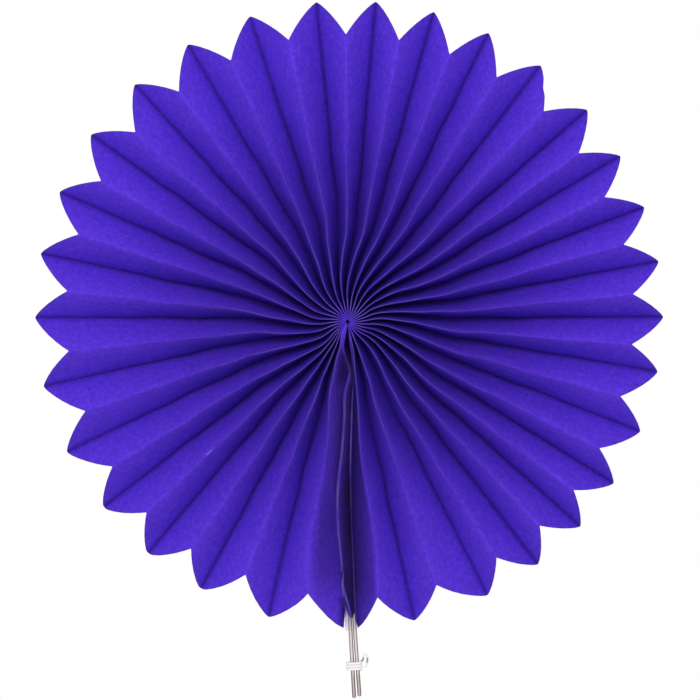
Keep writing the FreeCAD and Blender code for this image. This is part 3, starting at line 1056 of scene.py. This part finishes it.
    def groove(self, grid: SheetGrid) -> np.ndarray:
        """Works out how deep a groove is: shallow in the gathered hub, most of all left of the seam.

        Args:
            grid: The sheet's columns and rows.

        Returns:
            Its depth at each point, beyond the panels' own depth away from the hub.
        """
        squashed = grid.squashed[:, None]
        full = self.groove_full * (1 - squashed) + self.squashed_full * squashed
        inside = np.clip((grid.radii - self.plan.eye_radius) / (full - self.plan.eye_radius), 0, 1)
        return self.groove_least + self.groove_hub * inside + 2 * self.plan.panel_width * inside ** 4

    def roundness(self, grid: SheetGrid) -> np.ndarray:
        """Works out how round each panel's section is.

        Args:
            grid: The sheet's columns and rows.

        Returns:
            The power of its curve, 1 for a flat panel.
        """
        random = np.random.default_rng(self.seed + 1)
        rounder = random.uniform(*self.bulge_spread, self.plan.last)
        panel = np.minimum(grid.ridges, grid.valleys)
        return 1 + rounder[panel][:, None] * faded(grid.radii, self.bulge)

    def crumple(self, x: np.ndarray, z: np.ndarray, wave_mm: float, waves: int, seed: int) -> np.ndarray:
        """Works out uneven ripples of about one wavelength.

        Args:
            x: Sideways place of each point.
            z: Height of each point.
            wave_mm: The wavelength.
            waves: How many waves are laid over each other.
            seed: What the waves are drawn from.

        Returns:
            Heights between roughly -1 and 1.
        """
        random = np.random.default_rng(seed)
        total = np.zeros_like(x)
        for _ in range(waves):
            way = random.uniform(0, 2 * math.pi)
            length = wave_mm * random.uniform(*self.ripple_spread)
            start = random.uniform(0, 2 * math.pi)
            total += np.sin(2 * math.pi * (x * math.cos(way) + z * math.sin(way)) / length + start)
        return total / math.sqrt(waves / 2)

    def face(self, grid: SheetGrid, side: Side) -> tuple[np.ndarray, np.ndarray, np.ndarray]:
        """Lays out one face of the sheet.

        Args:
            grid: The sheet's columns and rows.
            side: Which of the two faces.

        Returns:
            Its points, how much rubbing and painted highlight each has, and how dark.
        """
        front = side is Side.FRONT
        radii, pitch, steps = grid.radii, grid.pitch, grid.steps[:, None]
        places = np.array(self.front_steps)
        share = places[steps] if front else 1 - places[self.across - steps]
        share = np.where(grid.at_end, self.end_shares(grid), share)
        crest = np.minimum(self.crest, self.crest_most * pitch)
        near, far = self.panel_depths(grid)
        hollow = np.minimum(far - self.wall - near, self.groove(grid))
        bent = share ** self.roundness(grid)
        if front:
            on_crest = steps <= 1
            offset = np.where(steps == 0, 0.0, crest + (pitch - crest) * share)
            depth = near + hollow * bent
        else:
            on_crest = steps >= self.across - 1
            offset = np.where(steps == self.across, pitch, (pitch - crest) * share)
            depth = far - hollow * (1 - bent)
        pinched = np.exp(-((1 - share) * pitch / self.pinch_width) ** 2) * (share > 0.5)
        depth = depth + faded(radii, self.pinch) * pinched
        way = np.sign(grid.valleys - grid.ridges)[:, None]
        bearing = np.radians(grid.ridge_at + way * np.degrees(offset / radii))
        x, z = radii * np.sin(bearing), radii * np.cos(bearing)
        up_lip = np.clip(1 - (pitch - offset) / self.lip_widths(grid), 0, 1)
        depth = depth - np.where(grid.at_end, faded(radii, self.lip_rise) * up_lip, 0.0)
        ripple = sum(height * self.crumple(x, z, *waves) for height, *waves in self.ripples)
        depth = depth + faded(radii, self.ripple_start) * ripple
        on_hem = grid.at_end & (steps >= self.across - 1)
        wear_and_highlight = self.wear_and_highlight.amounts(grid, on_crest, on_hem)
        shade = self.shade.front_amounts(grid, share, on_crest) if front else self.shade.close_amounts(grid)
        return np.stack([x, depth, z], axis=2), wear_and_highlight, shade

    def build(self) -> bpy.types.Object:
        """Makes the sheet's mesh.

        Returns:
            The sheet, closed all round, with the two attributes that its paper reads.
        """
        grid = self.grid()
        points, wear_and_highlight, shade = (np.array(part) for part in zip(*(self.face(grid, side) for side in Side)))
        piece = mesh_object("tissue_sheet", *closed_shell(points), self.finish, self.sharp_deg)
        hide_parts("pleated_sheet")
        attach(piece, "root")
        add_attribute(piece, "fold_wear_and_highlight", wear_and_highlight)
        add_attribute(piece, "crease_shade", shade)
        return piece


@dataclass
class SeamStrip:
    """The narrow strip of the same paper that closes the seam.

    It is folded: from its right side, behind the right free edge, it rises to a crease beside the left
    one, and goes back behind it. Near its foot the crease parts from the left edge.
    """

    plan: FoldPlan
    finish: bpy.types.Material
    crease_inset: float = 6.0      # how far its foot stops short of the petals' tips, at the crease
    side_inset: float = 12.5       # and at its right side
    flap_inset: float = 19.0       # and where it goes back behind the left edge
    overlap: float = 1.5           # how far it runs on behind each free edge
    wall: float = 0.22
    crease_depth: float = 5.4      # how far its crease lies before the valleys' backs
    side_depth: float = 0.35
    rise_power: float = 1.4        # shape of its rise from its side to its crease
    # how far its crease lies from the left edge, in degrees, by distance from the hub
    parting: Stops = (
        (0.0, 0.0), (145.0, 0.0), (158.0, 0.0), (171.0, -0.5), (176.0, -0.2), (181.5, 0.0), (188.0, 0.55),
        (192.0, 0.9))
    rows: int = 60
    columns: int = 9
    last_column: float = 0.9       # where the last column before the crease lies
    flap_column: float = 0.2       # and the first one on the flap behind it
    hem: Fade = (1.0, 160.0, 176.0)                # pale rubbing and painted highlight along its crease
    outer: Fade = (1.0, 138.0, 155.0)              # how its shade passes from the first set to the second
    # its shade, how much lighter it is beside the crease, and over what width
    inner_shade: tuple[float, float, float] = (1.0, 0.55, 2.2)
    outer_shade: tuple[float, float, float] = (0.9, 0.28, 1.1)
    flap_shade: float = 0.9

    def build(self) -> bpy.types.Object:
        """Makes the strip.

        Returns:
            The strip, closed all round, with the two attributes that its paper reads.
        """
        down = np.linspace(0, 1, self.rows)
        across = np.concatenate([np.linspace(0, self.last_column, self.columns), [1.0, 1.0, 1.0]])[:, None]
        flap = np.concatenate([np.zeros(self.columns + 1), [self.flap_column, 1.0]])[:, None]
        start = self.plan.eye_radius
        inset = self.side_inset + (self.crease_inset - self.side_inset) * across
        inset = inset + (self.flap_inset - self.crease_inset) * flap
        radii = start + (self.plan.tip_radius - inset - start) * down
        left = curve_through(self.plan.left_edge, radii)
        crease = left - curve_through(self.parting, radii)
        behind = np.degrees(self.overlap / radii)
        right = curve_through(self.plan.right_edge, radii) - behind
        bearing = np.radians(right + (crease - right) * across + (left - crease + behind) * flap)
        rise = across ** self.rise_power * (1 - flap)
        back = self.plan.half_depth(radii) - self.side_depth - (self.crease_depth - self.side_depth) * rise
        x, z = radii * np.sin(bearing), radii * np.cos(bearing)
        shifts = (-self.wall / 2, self.wall / 2)
        points = np.array([np.stack([x, back + shift, z], axis=2) for shift in shifts])
        piece = mesh_object("seam_strip", *closed_shell(points), self.finish)
        from_crease = np.radians(crease - right) * (1 - across) * radii
        # pale rubbing and painted highlight along the crease
        worn_and_lit = faded(radii, self.hem) * (across >= self.last_column) * (flap == 0)
        shade = np.where(flap > 0, self.flap_shade, self.shade(radii, from_crease) * (1 - worn_and_lit))
        add_attribute(piece, "fold_wear_and_highlight", np.array([worn_and_lit, worn_and_lit]))
        add_attribute(piece, "crease_shade", np.array([shade, shade]))
        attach(piece, "root")
        return piece

    def shade(self, radii: np.ndarray, from_crease: np.ndarray) -> np.ndarray:
        """Works out how dark the strip is in the depth of the seam.

        Args:
            radii: Distance of each point from the hub's centre.
            from_crease: Its distance from the strip's crease.

        Returns:
            Shares of the shadow colour, 0 to 1.
        """
        outer = faded(radii, self.outer)
        most, lighter, width = (first + (second - first) * outer
                                for first, second in zip(self.inner_shade, self.outer_shade))
        return most - lighter * np.exp(-np.abs(from_crease) / width)


@dataclass
class Stem:
    """The two stays, the cord that ties them, and the tape beside them."""

    plan: FoldPlan
    stay_finish: WrappedStay
    cord_finish: SoftCord
    tape_finish: TapeFilm
    stay_radius: float = 1.3
    stay_sides: int = 24
    stay_steps: int = 220
    stay_clearance: float = 0.4
    stay_top: float = 18.0
    stay_ends: tuple[float, float] = (0.7, 0.8)    # radius of its top and its foot, as shares
    wrap_lay: float = 3.2
    wrap_depth: float = 0.04
    rim_inset: float = 9.0
    left_sides: tuple[float, ...] = (-1.6, -1.5, 0.9, 3.85)
    left_stem: float = 47.1
    right_sides: tuple[float, ...] = (1.4, 1.7, 3.65, 7.35)
    right_stem: float = 46.0
    flank_start: float = 0.28      # how far out a stay's painted side shade starts, as a share of its radius
    flank_width: float = 0.45
    near_rim: Fade = (0.9, -6.0, 3.0)              # painted shade from the petals over it, by height over the rim
    near_tie: Fade = (1.0, 0.0, -8.0)              # and darker sides below the tie, by height over the tie
    darkened_share: float = 0.4
    tie_drop: float = 26.1
    cord_radius: float = 0.92
    cord_sides: int = 18
    cord_plies: int = 3
    cord_lay: float = 7.0
    ply_depth: float = 0.06
    turns: int = 3
    turn_steps: int = 30
    pitch: float = 1.85
    clearance: float = 0.25
    slack: float = 0.9             # how much wider the turns stand out at the left
    loop_radius: float = 0.62
    loop_steps: int = 40
    thinning: int = 6              # steps before and after the loop's start over which the cord thins
    loop_legs: tuple[float, float] = (1.5, 6.6)    # heights between which the loop is painted grey as shade
    loop_fade: float = 1.5
    loop: tuple[tuple[float, float], ...] = (
        (5.3, 4.6), (5.6, 6.9), (6.7, 8.0), (7.8, 6.7), (8.0, 3.6), (7.4, 0.6), (6.3, -1.2))
    tape_length: float = 52.5
    tape_reach: float = 2.5
    tape_top: tuple[float, float] = (-3.8, -1.6)
    tape_foot: tuple[float, float] = (-2.1, 0.0)
    tape_grid: tuple[int, int] = (24, 6)
    tape_wall: float = 0.15
    tape_gap: float = 0.05
    tape_cup: float = 0.15
    tear: tuple[float, float] = (0.7, 9.0)         # height of its torn foot's waves, and their run
    tape_shade_rise: Fade = (1.0, 6.0, 11.0)            # painted shade near the strip, by height over the rim

    def behind(self, height: float) -> float:
        """Works out the depth just behind the seam at a height."""
        radius = min(-height, self.plan.tip_radius)
        return float(self.plan.half_depth(np.array(radius))) + self.stay_clearance

    def corners(self, sides: tuple[float, ...], stem: float) -> np.ndarray:
        """Places the corners of a stay's centre line.

        Args:
            sides: Sideways place of each corner.
            stem: How far the stay runs out below the rim.

        Returns:
            One row of x, y and z per corner, from its top to its foot.
        """
        tip = self.plan.tip_radius
        heights = (-self.stay_top, -(self.stay_top + tip) / 2, self.rim_inset - tip, -tip - stem)
        return np.array([(x, self.behind(z) + self.stay_radius, z) for x, z in zip(sides, heights)])

    def line(self, sides: tuple[float, ...], stem: float) -> np.ndarray:
        """Works out a stay's centre line, whose depth follows the seam's back down to the rim.

        Args:
            sides: Sideways place of each corner.
            stem: How far the stay runs out below the rim.

        Returns:
            One row of x, y and z per point, from its top to its foot.
        """
        line = smooth_line(self.corners(sides, stem), self.stay_steps)
        rim = self.corners(sides, stem)[2]
        under = line[:, 2] > rim[2]
        line[under, 1] = np.array([self.behind(z) for z in line[under, 2]]) + self.stay_radius
        return line

    def build_stay(self, name: str, node: str, sides: tuple[float, ...], stem: float,
                   material: bpy.types.Material) -> bpy.types.Object:
        """Makes one stay with the wrap's spiral in its surface.

        Args:
            name: The piece's name.
            node: The CAD node that it replaces.
            sides: Sideways place of each corner of its line.
            stem: How far it runs out below the rim.
            material: Its finish.

        Returns:
            The stay, with the attribute that its finish reads.
        """
        line = self.line(sides, stem)
        radii = np.full(len(line), self.stay_radius)
        radii[0] *= self.stay_ends[0]
        radii[-1] *= self.stay_ends[1]
        points, faces = tube(line, radii, self.stay_sides, 1, self.wrap_lay, self.wrap_depth)
        piece = mesh_object(name, points, faces, material)
        rings = points.reshape(len(line), self.stay_sides, 3)
        # painted shade on the stay's left and right sides, more under the petals and below the tie
        outwards = np.abs(rings - line[:, None])[:, :, 0] / self.stay_radius
        flank_shade = np.clip((outwards - self.flank_start) / self.flank_width, 0, 1)
        over_rim = line[:, 2] + self.plan.tip_radius
        darkened = np.maximum(faded(over_rim + self.tie_drop, self.near_tie), faded(over_rim, self.near_rim))
        add_attribute(piece, "flank_shade", np.clip(flank_shade + self.darkened_share * darkened[:, None], 0, 1))
        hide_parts(node)
        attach(piece, "root")
        return piece

    def stem_at(self, sides: tuple[float, ...], stem: float, height: float) -> np.ndarray:
        """Finds the centre of a stay at a height below the rim."""
        rim, foot = self.corners(sides, stem)[2:]
        return rim + (foot - rim) * (height - rim[2]) / (foot[2] - rim[2])

    def winding(self, height: float) -> tuple[np.ndarray, np.ndarray]:
        """Works out the cord's turns round both stays.

        Args:
            height: Height of their middle over the hub's centre.

        Returns:
            The middle between the stays, and one row of x, y and z per point of the turns.
        """
        left = self.stem_at(self.left_sides, self.left_stem, height)
        right = self.stem_at(self.right_sides, self.right_stem, height)
        lean = self.stem_at(self.left_sides, self.left_stem, height + 1) - left
        middle, half_gap = (left + right) / 2, np.linalg.norm(right - left) / 2
        wrap = self.stay_radius + self.clearance + self.cord_radius
        turned = np.linspace(0, 2 * math.pi * self.turns, self.turn_steps * self.turns)
        sideways = half_gap * np.clip(2 * np.cos(turned), -1, 1) + wrap * np.cos(turned)
        sideways -= self.slack * (1 - np.cos(turned)) / 2
        rise = self.pitch * (turned / (2 * math.pi) - self.turns / 2)
        turns = np.stack([sideways, wrap * np.sin(turned), 0 * turned], axis=1)
        return middle, middle + turns + np.outer(rise, lean)

    def build_tie(self) -> bpy.types.Object:
        """Makes the cord: round both stays in turns, then out to its loop and loose end.

        Returns:
            The cord, with the attribute that its finish reads.
        """
        middle, winding = self.winding(-self.plan.tip_radius - self.tie_drop)
        loop = middle + np.array([(x, 0.0, z) for x, z in self.loop])
        out = smooth_line(np.concatenate([winding[-1:], loop]), self.loop_steps)[1:]
        line = np.concatenate([winding, out])
        radii = np.where(np.arange(len(line)) < len(winding), self.cord_radius, self.loop_radius)
        thinned = slice(len(winding) - self.thinning, len(winding) + self.thinning)
        radii[thinned] = np.linspace(self.cord_radius, self.loop_radius, 2 * self.thinning)
        points, faces = tube(line, radii, self.cord_sides, self.cord_plies, self.cord_lay, self.ply_depth)
        piece = mesh_object("tie_cord", points, faces, self.cord_finish.material())
        # painted shade on the loop's legs
        above = points[:, 2] - middle[2]
        low, high = self.loop_legs
        darkened = fade(above, low, low + self.loop_fade) * fade(above, high, high - self.loop_fade)
        on_loop = np.arange(len(points)) >= self.cord_sides * len(winding)
        add_attribute(piece, "cord_shade", darkened * on_loop)
        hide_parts("stem_tie")
        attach(piece, "root")
        return piece

    def build_tape(self) -> bpy.types.Object:
        """Makes the end of the tape, slightly cupped, with a torn foot.

        Returns:
            The tape, with the attribute that its finish reads.
        """
        rows, columns = self.tape_grid
        down = np.linspace(0, 1, rows)
        across = np.linspace(0, 1, columns)[:, None]
        torn = self.tear[0] * np.sin(self.tear[1] * across) * (down == 1)
        foot = -self.plan.tip_radius - self.tape_reach
        height = foot + self.tape_length * (1 - down) + torn
        first, second = (top + (low - top) * down for top, low in zip(self.tape_top, self.tape_foot))
        x = first + (second - first) * across
        cup = self.tape_cup * (2 * across - 1) ** 2
        depth = np.vectorize(self.behind)(height) + self.tape_gap + cup
        points = np.array([np.stack([x, depth + shift, height], axis=2) for shift in (0, self.tape_wall)])
        piece = mesh_object("tape_end", *closed_shell(points), self.tape_finish.material())
        # painted shade on the film's upper part, near the strip
        add_attribute(piece, "tape_shade", faded(points[..., 2] + self.plan.tip_radius, self.tape_shade_rise))
        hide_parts("adhesive_strip")
        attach(piece, "root")
        return piece

    def build(self) -> list[bpy.types.Object]:
        """Makes all four pieces.

        Returns:
            Both stays, the cord and the tape.
        """
        wrap = self.stay_finish.material()
        return [
            self.build_stay("stay_left", "left_stay", self.left_sides, self.left_stem, wrap),
            self.build_stay("stay_right", "right_stay", self.right_sides, self.right_stem, wrap),
            self.build_tie(),
            self.build_tape(),
        ]


@dataclass
class Studio:
    """Camera, soft light and a white sweep, as in a catalogue picture. Its sizes are in metres."""

    distance: float = 1.0
    elevation_deg: float = 5.0
    azimuth_deg: float = 0.8
    sensor_mm: float = 36.0
    pixels_per_mm: float = 1.582
    hub_pixel: tuple[float, float] = (348.0, 320.5)
    sweep_white: float = 1.0
    dome_strength: float = 0.72
    key_watts: float = 21.0
    key_side: float = 0.9
    key_place: tuple[float, float, float] = (-0.1, -1.6, 0.5)
    floor_height: float = -0.62
    floor_front: float = -4.0
    half_width: float = 4.0
    wall_depth: float = 2.6
    wall_top: float = 4.0
    bend: float = 0.8
    bend_steps: int = 24

    def place_camera(self) -> None:
        """Puts the camera where the photograph was taken from."""
        middle = PHOTO_SIDE / 2
        right = (middle - self.hub_pixel[0]) / self.pixels_per_mm * METRES_PER_MM
        up = (self.hub_pixel[1] - middle) / self.pixels_per_mm * METRES_PER_MM
        tilt = math.radians(self.elevation_deg)
        target = Vector((right, 0, up / math.cos(tilt)))
        turn = math.radians(self.azimuth_deg)
        away = Vector((math.cos(tilt) * math.sin(turn), -math.cos(tilt) * math.cos(turn), math.sin(tilt)))
        data = bpy.data.cameras.new("camera")
        data.sensor_width = self.sensor_mm
        data.lens = self.sensor_mm * self.pixels_per_mm * self.distance / METRES_PER_MM / PHOTO_SIDE
        data.dof.use_dof = False
        camera = bpy.data.objects.new("camera", data)
        camera.location = target + away * self.distance
        camera.rotation_euler = (-away).to_track_quat("-Z", "Y").to_euler()
        bpy.context.scene.collection.objects.link(camera)
        bpy.context.scene.camera = camera

    def add_key(self) -> None:
        """Adds the key, a square soft light that faces the hub."""
        data = bpy.data.lights.new("key", "AREA")
        data.size = self.key_side
        data.energy = self.key_watts
        light = bpy.data.objects.new("key", data)
        light.location = self.key_place
        light.rotation_euler = (-Vector(self.key_place)).to_track_quat("-Z", "Y").to_euler()
        bpy.context.scene.collection.objects.link(light)

    def light(self) -> None:
        """Sets the dome and the key."""
        world = bpy.data.worlds.new("studio")
        world.use_nodes = True
        background = world.node_tree.nodes["Background"]
        background.inputs["Color"].default_value = linear("#FFFFFF")
        background.inputs["Strength"].default_value = self.dome_strength
        bpy.context.scene.world = world
        self.add_key()
        bpy.context.scene.view_settings.view_transform = "Standard"

    def add_sweep(self) -> None:
        """Adds the white floor that curves up into the wall behind."""
        material, tree, output = new_material("white_sweep")
        glow = add_node(tree, "ShaderNodeEmission",
                        values={"Color": linear("#FFFFFF"), "Strength": self.sweep_white})
        tree.links.new(glow.outputs[0], output.inputs["Surface"])
        profile = [(self.floor_front, self.floor_height)]
        for step in range(self.bend_steps + 1):
            angle = math.pi / 2 * step / self.bend_steps
            profile.append((self.wall_depth - self.bend + self.bend * math.sin(angle),
                            self.floor_height + self.bend - self.bend * math.cos(angle)))
        profile.append((self.wall_depth, self.wall_top))
        sides = (-self.half_width, self.half_width)
        points = np.array([(x, y, z) for x in sides for y, z in profile]) / METRES_PER_MM
        sweep = mesh_object("sweep", points, grid_faces(2, len(profile)), material)
        sweep.visible_diffuse = False

    def build(self) -> None:
        """Sets up everything that isn't the object."""
        self.place_camera()
        self.light()
        self.add_sweep()


def dress_thread() -> bpy.types.Object:
    """Gives the thread in the hub its cotton finish.

    Returns:
        The thread.
    """
    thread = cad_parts["centre_thread"]
    finish = SoftCord("violet_thread", light="#3B2490", dark="#23145C").material()
    thread.data.materials.clear()
    thread.data.materials.append(finish)
    return thread


def main() -> None:
    """Builds the studio and every piece."""
    logging.basicConfig(level=logging.INFO, format="%(message)s")
    Studio().build()
    LOG.info("studio ready")
    low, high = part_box("pleated_sheet")
    depth = (high[1] - low[1]) / METRES_PER_MM
    plan = FoldPlan(tip_radius=high[0] / METRES_PER_MM, panel_width=depth - FoldPlan.wall)
    tissue = TissuePaper().material()
    pieces = [PleatedSheet(plan, tissue).build(), SeamStrip(plan, tissue).build(), dress_thread()]
    cord = SoftCord("white_cotton_cord", light="#E6E4E8", dark="#D6D3D9")
    pieces += Stem(plan, WrappedStay(), cord, TapeFilm()).build()
    for piece in pieces:
        LOG.info("%s: %d faces", piece.name, len(piece.data.polygons))


if __name__ == "__main__":
    main()
